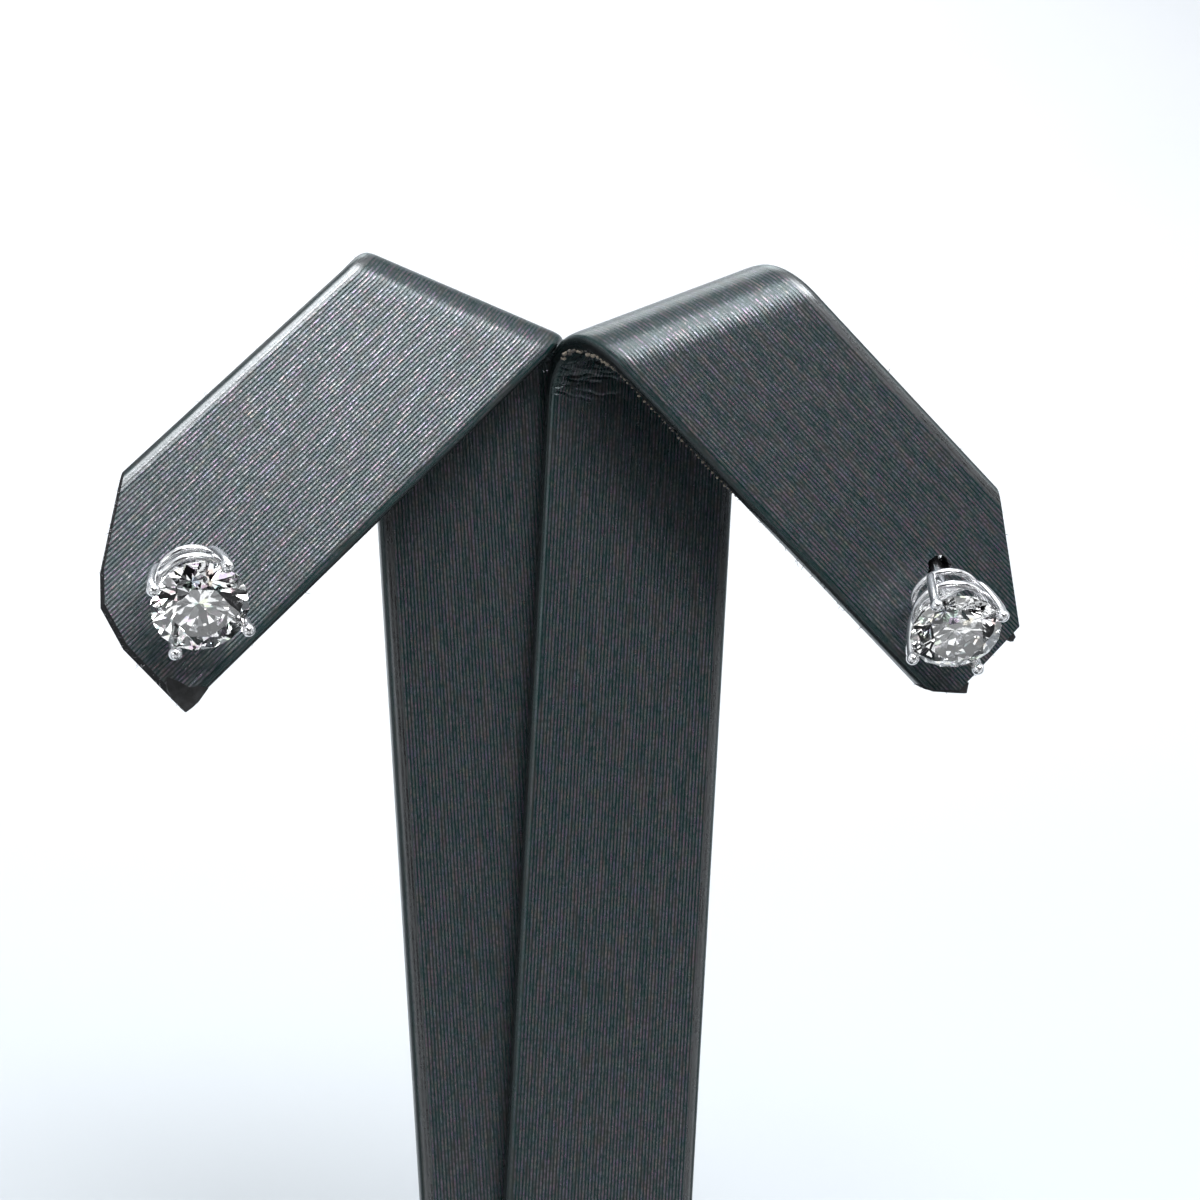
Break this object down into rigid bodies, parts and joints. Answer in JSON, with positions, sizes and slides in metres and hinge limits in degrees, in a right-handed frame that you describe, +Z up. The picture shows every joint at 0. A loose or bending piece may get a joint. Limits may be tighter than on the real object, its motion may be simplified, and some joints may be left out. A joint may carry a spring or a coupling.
{
  "type": "pair of stud earrings on a display stand",
  "caption": "Round solitaire studs in four-prong baskets, pinned through the folded wings of a wrapped two-strip display stand.",
  "frame": {"origin": "middle of the base's underside", "axes": "+Z up the stand, -Y toward the viewer that the wings and stones face, +X to that viewer's right"},
  "size_m": [0.0629, 0.038, 0.0885],
  "materials": {
    "leatherette": "steel-grey pearl leatherette with fine ribs",
    "white_metal": "polished white gold",
    "clear_stone": "clear round brilliant, faceted and polished"
  },
  "bodies": {
    "root": {"base": "leatherette", "left_strip": "leatherette", "right_strip": "leatherette", "left_setting": "white_metal", "right_setting": "white_metal", "left_friction_back": "white_metal", "right_friction_back": "white_metal", "left_stone": "clear_stone", "right_stone": "clear_stone"}
  },
  "joints": []
}
